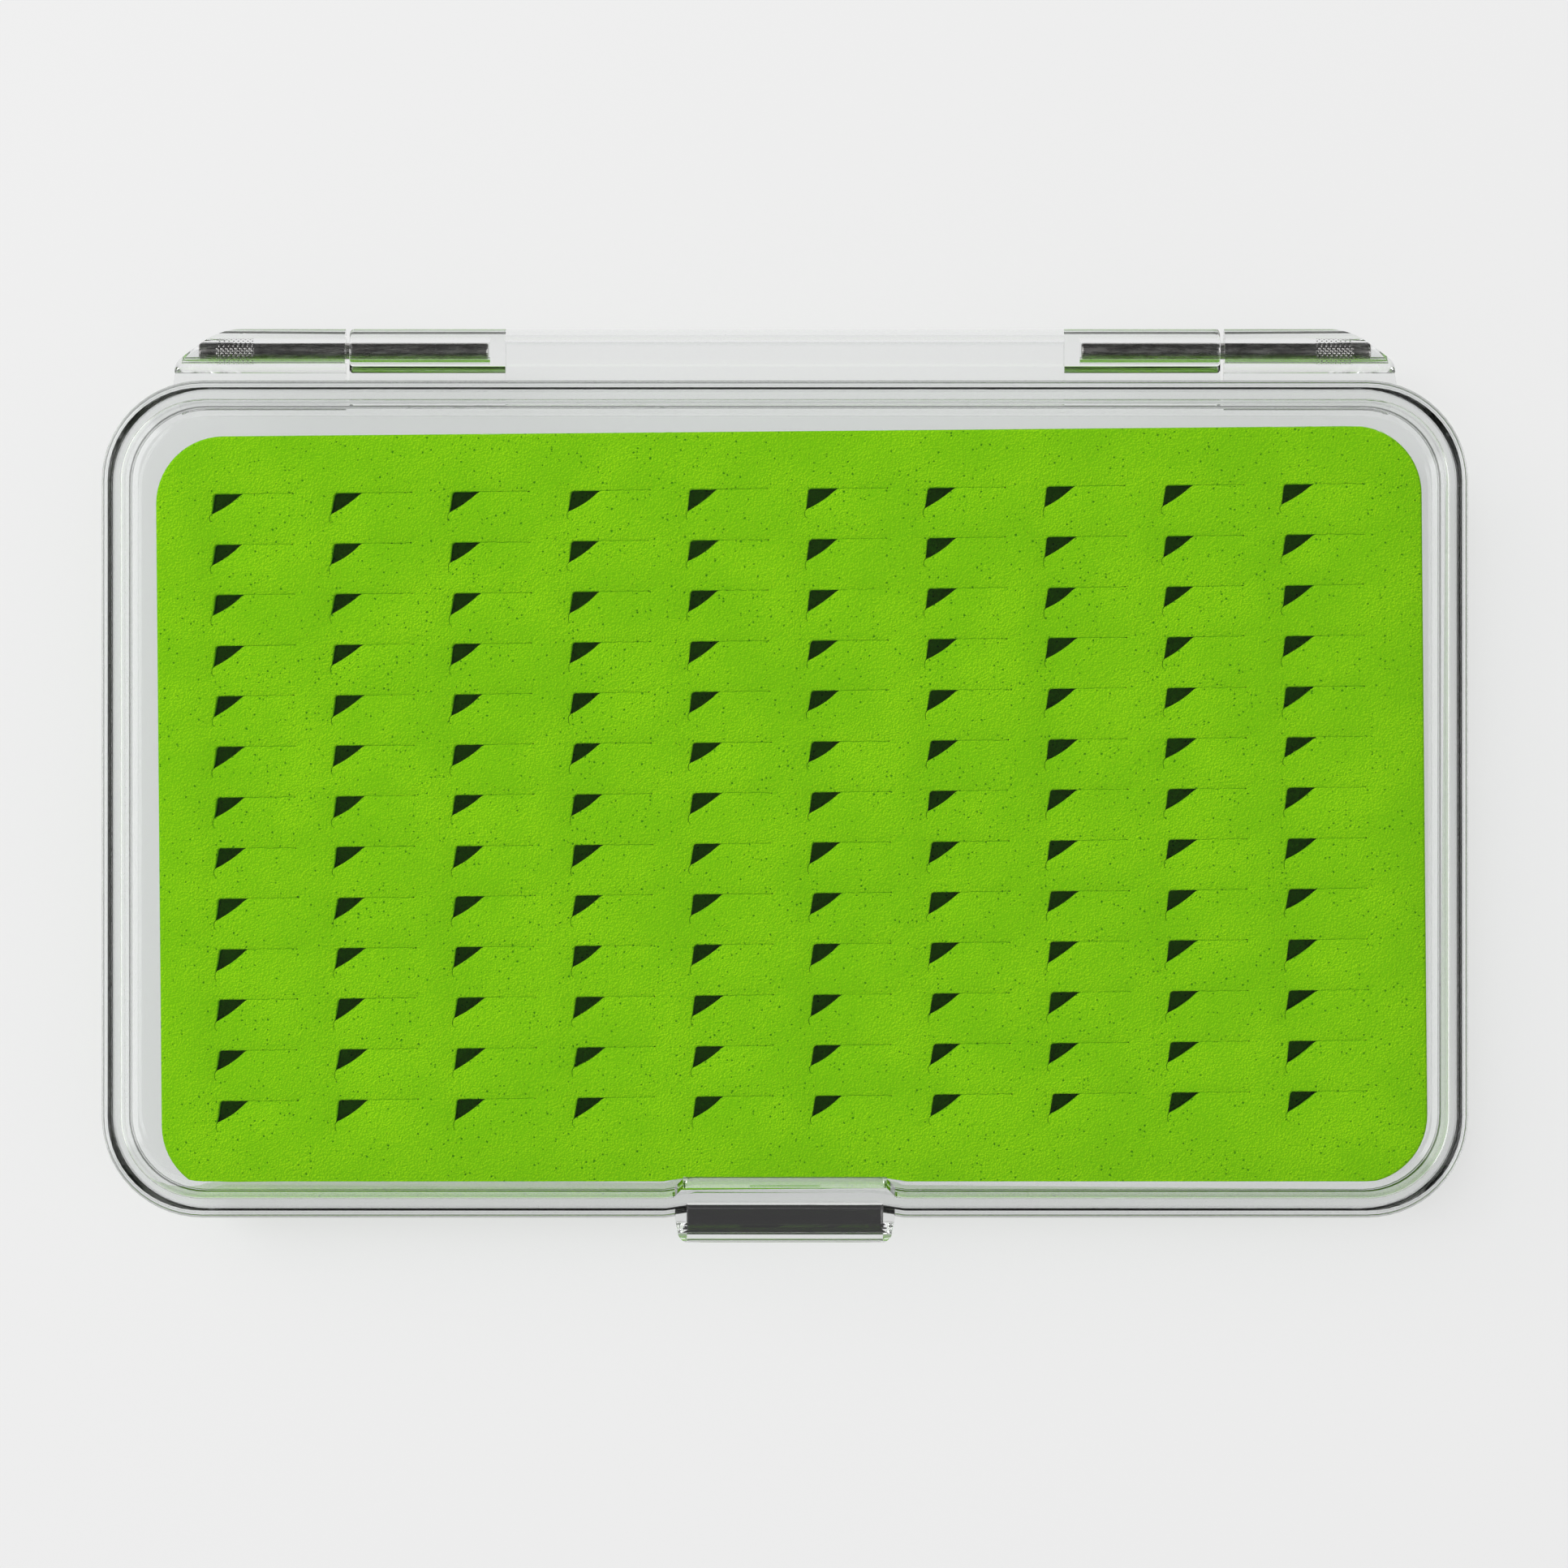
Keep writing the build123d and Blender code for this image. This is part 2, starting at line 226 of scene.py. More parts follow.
class Nodes:
    """Adds nodes to a tree, with their inputs given as constants or as links."""

    def __init__(self, tree):
        self.tree = tree

    def add(self, kind, inputs=None, **settings):
        node = self.tree.nodes.new(kind)
        for key, value in settings.items():
            setattr(node, key, value)
        for key, value in (inputs or {}).items():
            if isinstance(value, bpy.types.NodeSocket):
                self.tree.links.new(value, node.inputs[key])
            else:
                node.inputs[key].default_value = value
        return node

    def math(self, operation, *values, clamp=False):
        inputs = dict(enumerate(values))
        return self.add("ShaderNodeMath", inputs, operation=operation, use_clamp=clamp).outputs[0]

    def ramp(self, value, low, high, to_low=0.0, to_high=1.0, smooth=True):
        """Value turned from low..high into to_low..to_high."""
        kind = "SMOOTHSTEP" if smooth else "LINEAR"
        inputs = {"Value": value, "From Min": low, "From Max": high}
        inputs.update({"To Min": to_low, "To Max": to_high})
        return self.add("ShaderNodeMapRange", inputs, interpolation_type=kind).outputs[0]

    def mix(self, share, first, second):
        """The first colour at share 0, turning into the second at share 1."""
        # The mix node's colours are its sockets 6 and 7, and their mix comes out at socket 2
        node = self.add("ShaderNodeMix", data_type="RGBA")
        for number, value in ((0, share), (6, first), (7, second)):
            if isinstance(value, bpy.types.NodeSocket):
                self.tree.links.new(value, node.inputs[number])
            else:
                node.inputs[number].default_value = value
        return node.outputs[2]

    def noise(self, vector, scale, detail=2.0, roughness=0.5):
        inputs = {"Vector": vector, "Scale": scale, "Detail": detail, "Roughness": roughness}
        return self.add("ShaderNodeTexNoise", inputs).outputs[0]

    def cells(self, vector, scale):
        """A Voronoi texture's node, with its distance and its colour for each cell."""
        return self.add("ShaderNodeTexVoronoi", {"Vector": vector, "Scale": scale}, feature="F1")

    def bump(self, height, strength, distance, invert=False):
        inputs = {"Height": height, "Strength": strength, "Distance": distance}
        return self.add("ShaderNodeBump", inputs, invert=invert).outputs[0]

    def mix_shaders(self, share, first, second):
        inputs = {0: share, 1: first.outputs[0], 2: second.outputs[0]}
        return self.add("ShaderNodeMixShader", inputs)


def new_material(name):
    """An empty node material, its node helper and the shading point in millimetres."""
    material = bpy.data.materials.new(name)
    material.use_nodes = True
    material.node_tree.nodes.clear()
    nodes = Nodes(material.node_tree)
    return material, nodes, use_group(nodes, place_in_mm()).outputs["Place"]


def new_group(name, sockets):
    """A node group with sockets given as (in or out, name, kind), and its node helper."""
    group = bpy.data.node_groups.new(name, "ShaderNodeTree")
    for way, socket, kind in sockets:
        group.interface.new_socket(socket, in_out=way, socket_type="NodeSocket" + kind)
    return group, Nodes(group)


def place_in_mm():
    """Group: the shading point in the object's own millimetres."""
    group = bpy.data.node_groups.get("place_in_mm")
    if group:
        return group
    group, nodes = new_group("place_in_mm", [("OUTPUT", "Place", "Vector")])
    place = nodes.add("ShaderNodeTexCoord").outputs["Object"]
    scaled = nodes.add("ShaderNodeVectorMath", {0: place, "Scale": 1 / MM}, operation="SCALE")
    nodes.add("NodeGroupOutput", {"Place": scaled.outputs[0]})
    return group


def foam_cells():
    """Group: the fine cells and burst pores of closed-cell foam, as a height, a pore mask and a
    mask of the cells' random tone with their painted shade and highlight.
    """
    group = bpy.data.node_groups.get("foam_cells")
    if group:
        return group
    group, nodes = new_group(
        "foam_cells",
        [
            ("INPUT", "Place", "Vector"),
            ("OUTPUT", "Height", "Float"),
            ("OUTPUT", "Pores", "Float"),
            ("OUTPUT", "Painted_shade_and_grain", "Float"),
        ],
    )
    place = nodes.add("NodeGroupInput").outputs["Place"]
    # The textures' scales, all in repeats to the millimetre
    warp_scale, dome_scale, pore_scale, fine_scale, lit_scale = 2.4, 3.1, 2.1, 5.5, 4.8
    bend = (0.22, 0.22, 0.22)
    to_lamp = (-0.05, 0.05, 0.0)
    largest_pore = 0.34

    warp = nodes.add("ShaderNodeTexNoise", {"Vector": place, "Scale": warp_scale, "Detail": 1.0})
    inputs = {0: warp.outputs[1], 1: bend, 2: place}
    bent = nodes.add("ShaderNodeVectorMath", inputs, operation="MULTIPLY_ADD").outputs[0]
    domes = nodes.ramp(nodes.cells(bent, dome_scale).outputs["Distance"], 0.1, 0.65)
    domes = nodes.math("SUBTRACT", 1.0, domes)
    fine = nodes.noise(place, fine_scale, 2.0, 0.6)

    # Painted shade and highlight on the fine cells, as if lit from the lamp: the difference of the
    # noise at two points close together
    nearer = nodes.add("ShaderNodeVectorMath", {0: place, 1: to_lamp}, operation="ADD").outputs[0]
    here = nodes.noise(place, lit_scale, 2.0, 0.6)
    painted_cell_shade = nodes.math("SUBTRACT", here, nodes.noise(nearer, lit_scale, 2.0, 0.6))

    # Two cells in three hold a pore, each of its own size
    pores = nodes.cells(bent, pore_scale)
    chosen = nodes.add("ShaderNodeSeparateColor", {0: pores.outputs["Color"]}).outputs[0]
    reach = nodes.ramp(chosen, 0.35, 1.0, 0.0, largest_pore, smooth=False)
    reach = nodes.math("MAXIMUM", reach, 0.001)
    pore = nodes.math("DIVIDE", pores.outputs["Distance"], reach)
    pore = nodes.ramp(nodes.math("SUBTRACT", 1.0, pore, clamp=True), 0.0, 0.6)

    height = nodes.math("MULTIPLY_ADD", domes, 0.55, nodes.math("MULTIPLY", fine, 0.75))
    height = nodes.math("MULTIPLY_ADD", pore, -1.3, height)
    # The domes' and fine cells' random tone, with the painted shade and highlight added on top,
    # which counts most
    painted_shade_and_grain = nodes.math("MULTIPLY_ADD", domes, 0.25, nodes.math("MULTIPLY", fine, 0.25))
    painted_shade_and_grain = nodes.math("MULTIPLY_ADD", painted_cell_shade, 4.0, nodes.math("ADD", painted_shade_and_grain, 0.25))
    nodes.add("NodeGroupOutput", {"Height": height, "Pores": pore, "Painted_shade_and_grain": painted_shade_and_grain})
    return group


def surface_wear():
    """Group: scuffs and hairline scratches on moulded plastic, as a mask and a height."""
    group = bpy.data.node_groups.get("surface_wear")
    if group:
        return group
    group, nodes = new_group(
        "surface_wear",
        [
            ("INPUT", "Place", "Vector"),
            ("OUTPUT", "Scuffs", "Float"),
            ("OUTPUT", "Height", "Float"),
        ],
    )
    place = nodes.add("NodeGroupInput").outputs["Place"]
    patches = nodes.ramp(nodes.noise(place, 0.06, 3.0), 0.5, 0.72)
    lines = None
    # Hairlines run where a drawn-out noise passes its middle: their turn, their scale across and
    # their scale along
    for turn, across, along in ((0.4, 0.76, 0.021), (-1.1, 0.52, 0.03), (1.9, 0.96, 0.017)):
        inputs = {"Vector": place, "Rotation": (0, 0, turn), "Scale": (along, across, 0.3)}
        drawn = nodes.noise(nodes.add("ShaderNodeMapping", inputs).outputs[0], 1.6, 1.0)
        away = nodes.math("ABSOLUTE", nodes.math("SUBTRACT", drawn, 0.5))
        line = nodes.math("SUBTRACT", 1.0, nodes.ramp(away, 0.0, 0.006))
        lines = line if lines is None else nodes.math("MAXIMUM", lines, line)
    scratches = nodes.math("MULTIPLY", lines, patches)
    cloud = nodes.ramp(nodes.noise(place, 0.9, 3.0, 0.65), 0.45, 0.8)
    cloud = nodes.math("MULTIPLY", nodes.math("MULTIPLY", cloud, patches), 0.35)
    scuffs = nodes.math("MAXIMUM", scratches, cloud)
    nodes.add("NodeGroupOutput", {"Scuffs": scuffs, "Height": scratches})
    return group


def use_group(nodes, group, **inputs):
    """A node that runs the group, with its inputs linked by name."""
    node = nodes.add("ShaderNodeGroup", node_tree=group)
    for key, value in inputs.items():
        nodes.tree.links.new(value, node.inputs[key])
    return node


# ---------------------------------------------------------------- materials


def clear_plastic(settings):
    """Moulded clear plastic that lets the lamps through to what it shuts in."""
    material, nodes, place = new_material("clear_plastic")
    wear = use_group(nodes, surface_wear(), Place=place)
    bump = nodes.bump(wear.outputs["Height"], 0.12 * settings.wear, 0.00001, invert=True)
    plastic = nodes.add(
        "ShaderNodeBsdfPrincipled",
        {
            "Base Color": (*settings.tint, 1.0),
            "Roughness": nodes.math("MULTIPLY", wear.outputs["Scuffs"], 0.1 * settings.wear),
            "IOR": settings.refraction,
            "Transmission Weight": 1.0,
            "Normal": bump,
        },
    )
    through = nodes.add("ShaderNodeBsdfTransparent", {"Color": (0.955, 0.962, 0.962, 1.0)})
    path = nodes.add("ShaderNodeLightPath")
    soft = nodes.math("MAXIMUM", path.outputs["Is Shadow Ray"], path.outputs["Is Diffuse Ray"])
    mix = nodes.mix_shaders(soft, plastic, through)
    nodes.add("ShaderNodeOutputMaterial", {"Surface": mix.outputs[0]})
    return material


def foam(name, lit_colour, shaded_colour, painted_pore_shade):
    """Closed-cell foam: fine domed cells with painted light and shade from one side, and burst
    pores with painted shade between them.
    """
    material, nodes, place = new_material(name)
    cells = use_group(nodes, foam_cells(), Place=place)
    drift = nodes.ramp(nodes.noise(place, 0.12, 3.0), 0.3, 0.7, 0.0, 0.35)
    # Painted light and shade: a high mask takes the lit colour and a low one the shaded colour, and
    # the drift darkens it at random
    shade = nodes.ramp(cells.outputs["Painted_shade_and_grain"], 0.25, 0.85, 1.0, 0.0, smooth=False)
    shade = nodes.math("ADD", shade, drift, clamp=True)
    tone_and_shade = nodes.mix(shade, (*lit_colour, 1.0), (*shaded_colour, 1.0))
    # Painted shade in the burst pores: they take the dark pore colour over the foam's tone
    pores = nodes.math("MULTIPLY", cells.outputs["Pores"], 0.9)
    tone_and_shade = nodes.mix(pores, tone_and_shade, (*painted_pore_shade, 1.0))
    skin = nodes.add(
        "ShaderNodeBsdfPrincipled",
        {
            "Base Color": tone_and_shade,
            "Roughness": 0.82,
            "Specular IOR Level": 0.05,
            "Normal": nodes.bump(cells.outputs["Height"], 0.55, 0.00012),
        },
    )
    nodes.add("ShaderNodeOutputMaterial", {"Surface": skin.outputs[0]})
    return material


def pin_steel():
    """Drawn steel wire: bright, with fine streaks along it and a few dull stains."""
    material, nodes, place = new_material("pin_steel")
    stretched = nodes.add("ShaderNodeMapping", {"Vector": place, "Scale": (0.35, 6.0, 6.0)})
    streaks = nodes.noise(stretched.outputs[0], 1.0, 3.0)
    stains = nodes.ramp(nodes.noise(place, 0.8, 3.0), 0.4, 0.75)
    steel = nodes.add(
        "ShaderNodeBsdfPrincipled",
        {
            "Base Color": nodes.mix(stains, (0.43, 0.42, 0.41, 1.0), (0.30, 0.29, 0.28, 1.0)),
            "Metallic": 1.0,
            "Roughness": nodes.ramp(streaks, 0.3, 0.7, 0.2, 0.32),
            "Normal": nodes.bump(streaks, 0.12, 0.000008),
        },
    )
    nodes.add("ShaderNodeOutputMaterial", {"Surface": steel.outputs[0]})
    return material


def adhesive():
    """Cloudy pressure-sensitive film with small trapped bubbles."""
    material, nodes, place = new_material("adhesive")
    # 0 inside a bubble and 1 outside it
    film_share = nodes.ramp(nodes.cells(place, 0.8).outputs["Distance"], 0.1, 0.2)
    film = nodes.add(
        "ShaderNodeBsdfPrincipled",
        {
            "Base Color": nodes.mix(film_share, (0.42, 0.43, 0.4, 1.0), (0.62, 0.63, 0.58, 1.0)),
            "Roughness": nodes.ramp(film_share, 0.0, 1.0, 0.3, 0.55),
            "Normal": nodes.bump(film_share, 0.3, 0.00003),
        },
    )
    nodes.add("ShaderNodeOutputMaterial", {"Surface": film.outputs[0]})
    return material


def white_paper(settings):
    """Matt white paper, as pale as the backdrop wherever the camera or the plastic sees it."""
    material, nodes, place = new_material("studio_paper")
    bump = nodes.bump(nodes.noise(place, 3.0, 2.0), 0.1, 0.00002)
    paper = nodes.add("ShaderNodeBsdfDiffuse", {"Color": (0.8, 0.8, 0.8, 1.0), "Normal": bump})
    glow_inputs = {"Color": (*settings.floor_colour, 1.0), "Strength": 1.0}
    glow = nodes.add("ShaderNodeEmission", glow_inputs)
    path = nodes.add("ShaderNodeLightPath")
    seen = nodes.math("MAXIMUM", path.outputs["Is Glossy Ray"], path.outputs["Is Transmission Ray"])
    seen = nodes.math("MAXIMUM", seen, path.outputs["Is Camera Ray"])
    # The rest is real light and shade, so that the box's shadow shows on the paper
    glow_share = nodes.math("MULTIPLY", seen, 0.7)
    mix = nodes.mix_shaders(glow_share, paper, glow)
    nodes.add("ShaderNodeOutputMaterial", {"Surface": mix.outputs[0]})
    return material


def paint(obj, material):
    obj.data.materials.clear()
    obj.data.materials.append(material)


# ---------------------------------------------------------------- mesh helpers


class Sheet:
    """Collects points and faces, in millimetres, and makes them one mesh object in metres."""

    # Points closer together than this, in metres, are one
    weld_reach = 0.5e-6

    def __init__(self):
        self.points = []
        self.faces = []

    def ring(self, outline, z=0.0):
        """Adds a ring of points, (x, y) at height z or (x, y, own z), and gives their numbers."""
        first = len(self.points)
        for point in outline:
            self.points.append((point[0], point[1], point[2] if len(point) > 2 else z))
        return list(range(first, len(self.points)))

    def strips(self, rings):
        """Joins each ring to the next, which has as many points."""
        for lower, upper in zip(rings, rings[1:]):
            count = len(lower)
            for i in range(count):
                j = (i + 1) % count
                self.faces.append((lower[i], lower[j], upper[j], upper[i]))

    def round_edge(self, outline, radii, top, side):
        """Rings that round the edge between an outline's wall and the flat top, wall first.

        Every point has its own radius. The top lies outside the outline at side 1 and inside it
        at side -1.
        """
        rings = []
        for out, down in ROUND_EDGE:
            spread = grown(outline, [side * radius * out for radius in radii])
            points = [(x, y, top - radius * down) for (x, y), radius in zip(spread, radii)]
            rings.append(self.ring(points))
        return rings

    def fill(self, outer, holes, upward=True):
        """Fills the flat region between a ring and the rings of its holes with triangles."""
        inside_only, tolerance = 1, 1e-6
        rings = [outer, *holes]
        numbers = [number for ring in rings for number in ring]
        spots = [Vector(self.points[number][:2]) for number in numbers]
        edges, first = [], 0
        for ring in rings:
            count = len(ring)
            edges.extend((first + i, first + (i + 1) % count) for i in range(count))
            first += count
        net = delaunay_2d_cdt(spots, edges, [], inside_only, tolerance)
        spots_out, _, faces, origins, _, _ = net
        level = self.points[outer[0]][2]
        known = []
        for spot, origin in zip(spots_out, origins):
            if origin:
                known.append(numbers[origin[0]])
            else:
                known.append(len(self.points))
                self.points.append((spot.x, spot.y, level))
        hole_outlines = [[self.points[number][:2] for number in ring] for ring in holes]
        for face in faces:
            x = sum(spots_out[i].x for i in face) / len(face)
            y = sum(spots_out[i].y for i in face) / len(face)
            if not any(inside(x, y, outline) for outline in hole_outlines):
                corners = tuple(known[i] for i in face)
                self.faces.append(corners if upward else corners[::-1])

    def build(self, name, place):
        """The mesh object, with every point taken through place, which works in millimetres."""
        mesh = bpy.data.meshes.new(name)
        points = [tuple(place(Vector(point)) * MM) for point in self.points]
        mesh.from_pydata(points, [], self.faces)
        work = bmesh.new()
        work.from_mesh(mesh)
        bmesh.ops.remove_doubles(work, verts=work.verts, dist=self.weld_reach)
        bmesh.ops.recalc_face_normals(work, faces=work.faces)
        for face in work.faces:
            face.smooth = True
        work.to_mesh(mesh)
        work.free()
        obj = bpy.data.objects.new(name, mesh)
        bpy.context.scene.collection.objects.link(obj)
        return obj


def inside(x, y, outline):
    """True if the point lies inside the outline."""
    found = False
    for (x1, y1), (x2, y2) in zip(outline, outline[1:] + outline[:1]):
        if (y1 > y) != (y2 > y) and x < x1 + (y - y1) * (x2 - x1) / (y2 - y1):
            found = not found
    return found


def grown(outline, reaches, longest=1.4):
    """The anticlockwise outline with each point moved outwards by its own reach.

    At a sharp corner a point moves further, up to longest times its reach.
    """
    result = []
    count = len(outline)
    for i, (point, reach) in enumerate(zip(outline, reaches)):
        before, after = outline[i - 1], outline[(i + 1) % count]
        first = Vector((point[1] - before[1], before[0] - point[0])).normalized()
        second = Vector((after[1] - point[1], point[0] - after[0])).normalized()
        middle = (first + second).normalized()
        stretch = min(1 / max(middle.dot(first), 0.1), longest)
        x = point[0] + middle.x * reach * stretch
        y = point[1] + middle.y * reach * stretch
        result.append((x, y))
    return result


def rounded_rectangle(width, depth, radius, steps=14):
    """The anticlockwise outline of a rectangle with round corners, about the origin."""
    outline = []
    for turn, side_x, side_y in ((0, 1, 1), (90, -1, 1), (180, -1, -1), (270, 1, -1)):
        centre_x = side_x * (width / 2 - radius)
        centre_y = side_y * (depth / 2 - radius)
        for step in range(steps + 1):
            angle = radians(turn + 90 * step / steps)
            outline.append((centre_x + radius * cos(angle), centre_y + radius * sin(angle)))
    return outline


# ---------------------------------------------------------------- foam pad


def slit_outline(rng, settings):
    """One slit's opening in millimetres, anticlockwise, with the rounding of its lip at each point.

    The origin is the left end of the open corner, on the line of the closed cut.
    """
    width = settings.corner_width / MM * rng.uniform(0.97, 1.05)
    height = settings.corner_height / MM * rng.uniform(0.96, 1.05)
    cut_length = settings.cut_length / MM * rng.uniform(0.985, 1.015)
    gape = settings.cut_width / MM / 2 * rng.uniform(0.7, 1.3)
    lean = rng.uniform(0.2, 0.34)
    bow = rng.uniform(0.16, 0.34)
    round_corner = rng.uniform(0.3, 0.45)
    waves = []
    for _ in range(3):
        swell = rng.uniform(0.008, 0.02)
        waves.append((swell, rng.uniform(1.1, 3.2), rng.uniform(0, 2 * pi)))
    tilt = rng.uniform(-0.006, 0.008)
    hole = rng.uniform(0.05, 0.08)

    def cut_line(x):
        """The cut's own height at x: a slight tilt, and waves that grow over its first mm."""
        run = max(x - width, 0.0)
        wave = sum(swell * sin(2 * pi * run / pitch + start) for swell, pitch, start in waves)
        return tilt * run + min(run, 1.0) * wave

    # The lower lip of the closed cut, the hole at its end and its upper lip
    lower_lip, hole_lip, upper_lip, corner_lip, relief_lip = 0.075, 0.05, 0.085, 0.2, 0.09
    outline = []
    steps = 18
    end_x = width + cut_length
    near_hole = end_x - 0.15
    for step in range(steps):
        x = width + 0.12 + (near_hole - width) * step / (steps - 1)
        outline.append((x, cut_line(x) - gape, lower_lip))
    for turn in (-135, -90, -45, 0, 45, 90, 135):
        angle = radians(turn)
        y = cut_line(end_x) + hole * sin(angle)
        outline.append((end_x + hole * cos(angle), y, hole_lip))
    for step in range(steps):
        x = near_hole - (near_hole - width) * step / (steps - 1)
        outline.append((x, cut_line(x) + gape, upper_lip))

    # The open corner: its upper edge, where the lip grows, its round corner and its left edge
    left_end = lean + round_corner
    count = 9
    for step in range(1, count):
        share = step / count
        x = width + (left_end - width) * share
        outline.append((x, gape + 0.01 * sin(5 * x), 0.07 + 0.13 * min(share * 2, 1)))
    for turn in (95, 115, 135, 155, 175):
        angle = radians(turn)
        x = lean + round_corner * (1 + cos(angle))
        outline.append((x, gape - round_corner * (1 - sin(angle)), corner_lip))
    count = 7
    for step in range(1, count):
        share = step / count
        y = -round_corner + (0.1 - height + round_corner) * share
        x = lean * (1 - share) + 0.01 * sin(7 * y)
        outline.append((x, y, corner_lip - 0.1 * share))

    # The relief: a short cut that runs on below the opening and hooks to the right
    swing = rng.uniform(0.12, 0.24)
    drop = rng.uniform(0.85, 1.15)
    hook = rng.uniform(-0.05, 0.2)
    relief = [
        (-0.02, -height),
        (-swing * 0.8, -height - drop * 0.2),
        (-swing, -height - drop * 0.5),
        (-swing * 0.9, -height - drop * 0.78),
        (-swing * 0.5 + hook * 0.3, -height - drop * 0.96),
        (-swing * 0.1 + hook, -height - drop),
    ]
    half = 0.014
    left, right = [], []
    for i, (x, y) in enumerate(relief):
        before, after = relief[max(i - 1, 0)], relief[min(i + 1, len(relief) - 1)]
        way = Vector((after[0] - before[0], after[1] - before[1])).normalized()
        left.append((x + way.y * half, y - way.x * half, relief_lip))
        right.append((x - way.y * half, y + way.x * half, relief_lip))
    outline.extend(left)
    outline.extend(right[:0:-1])

    # The bowed edge of the open corner, from the relief back to the closed cut
    middle = (width * 0.5 + bow, -height * 0.5 - bow)
    start, end = (0.07, -height + 0.02), (width, -gape)
    count = 13
    for step in range(count):
        share = step / count
        a, b, c = (1 - share) ** 2, 2 * share * (1 - share), share**2
        x = a * start[0] + b * middle[0] + c * end[0]
        y = a * start[1] + b * middle[1] + c * end[1]
        outline.append((x, y, 0.035 + 0.02 * sin(3.1 * share)))
    return outline


def pad_place(settings):
    """Takes a point from the pad's own millimetres to the box's."""
    turn = Euler((0, 0, settings.skew)).to_matrix()
    shift = Vector((settings.offset[0], settings.offset[1], 0)) / MM
    return lambda point: turn @ point + shift


def slit_foam(settings):
    """The green foam, with every slit cut through it and its lips pressed down by the blade."""
    rng = random.Random(settings.seed)
    width, depth = settings.width / MM, settings.depth / MM
    bottom = settings.bottom / MM
    top = bottom + settings.thickness / MM
    pitch_x, pitch_y = settings.pitch_x / MM, settings.pitch_y / MM
    left = -width / 2 + settings.left_margin / MM
    rear = depth / 2 - settings.rear_margin / MM
    # A cell holds one slit: it starts this far left of the slit and this far behind it
    relief_length = 1.2
    cell_left = (pitch_x - (settings.corner_width + settings.cut_length) / MM) / 2
    cell_rear = (pitch_y - settings.corner_height / MM - relief_length) / 2
    sheet = Sheet()

    corner_x = [left - cell_left + pitch_x * column for column in range(settings.columns + 1)]
    corner_y = [rear + cell_rear - pitch_y * row for row in range(settings.rows + 1)]
    for column in range(settings.columns):
        for row in range(settings.rows):
            x0, x1 = corner_x[column : column + 2]
            y1, y0 = corner_y[row : row + 2]
            origin_x = left + column * pitch_x + rng.uniform(-0.04, 0.04)
            origin_y = rear - row * pitch_y + rng.uniform(-0.03, 0.03)
            outline = slit_outline(rng, settings)
            lips = [lip for _, _, lip in outline]
            walls = [(origin_x + x, origin_y + y) for x, y, _ in outline]
            rings = sheet.round_edge(walls, lips, top, 1)
            foot = sheet.ring(walls, bottom)
            sheet.strips([foot, *rings])
            cell = ((x0, y0), (x1, y0), (x1, y1), (x0, y1))
            sheet.fill(sheet.ring(cell, top), [rings[-1]])
            sheet.fill(sheet.ring(cell, bottom), [foot], upward=False)

    # The frame of plain foam round the cells
    block = [(x, corner_y[-1]) for x in corner_x[:-1]]
    block += [(corner_x[-1], y) for y in reversed(corner_y[1:])]
    block += [(x, corner_y[0]) for x in reversed(corner_x[1:])]
    block += [(corner_x[0], y) for y in corner_y[:-1]]
    outline = rounded_rectangle(width, depth, settings.corner_radius / MM)
    sides = sheet.round_edge(outline, [settings.edge_radius / MM] * len(outline), top, -1)
    foot = sheet.ring(outline, bottom)
    sheet.strips([foot, *sides])
    sheet.fill(sides[-1], [sheet.ring(block, top)])
    sheet.fill(foot, [sheet.ring(block, bottom)], upward=False)
    return sheet.build("slit_foam_pad", pad_place(settings))


def foam_backing(settings):
    """The backing foam: a thin slab with soft edges and a slightly uneven top."""
    rng = random.Random(settings.seed + 1)
    width, depth = settings.width / MM, settings.depth / MM
    corner = settings.corner_radius / MM
    # It is this much smaller than the pad, and lies this far clear of what is above and below it
    shrink, gap = 0.1, 0.01
    top = settings.bottom / MM - gap
    bottom = top - settings.backing / MM + 2 * gap
    edge = 0.15
    sheet = Sheet()
    outline = rounded_rectangle(width - shrink, depth - shrink, corner)
    rings = [sheet.ring(grown(outline, [-edge] * len(outline)), bottom)]
    rings.append(sheet.ring(outline, bottom + edge))
    rings += sheet.round_edge(outline, [edge] * len(outline), top, -1)
    sheet.strips(rings)
    # The top dips a little along a line inside its edge
    inset, deepest = 3.0, 0.05
    inner = rounded_rectangle(width - 2 * inset, depth - 2 * inset, corner - 2.5)
    inner_ring = sheet.ring([(x, y, top - rng.uniform(0, deepest)) for x, y in inner])
    sheet.fill(rings[-1], [inner_ring])
    sheet.fill(inner_ring, [])
    sheet.fill(rings[0], [], upward=False)
    return sheet.build("foam_backing_slab", pad_place(settings))


class FLYBOX_OT_foam_pad(bpy.types.Operator):
    """Builds the slit foam pad and its backing, and finishes the film that holds them"""

    bl_idname = "flybox.foam_pad"
    bl_label = "Foam pad"

    def execute(self, context):
        settings = context.scene.fly_box_pad
        pad = slit_foam(settings)
        paint(pad, foam("green_foam", *GREEN_FOAM))
        backing = foam_backing(settings)
        paint(backing, foam("dark_foam", *DARK_FOAM))
        pieces = ((pad, "slit_foam", "green_foam"), (backing, "foam_backing", "dark_foam"))
        for piece, node, slot in pieces:
            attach(piece, "base")
            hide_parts(node)
        paint(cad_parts["adhesive_film"], adhesive())
        return {"FINISHED"}


# ---------------------------------------------------------------- hinge pins


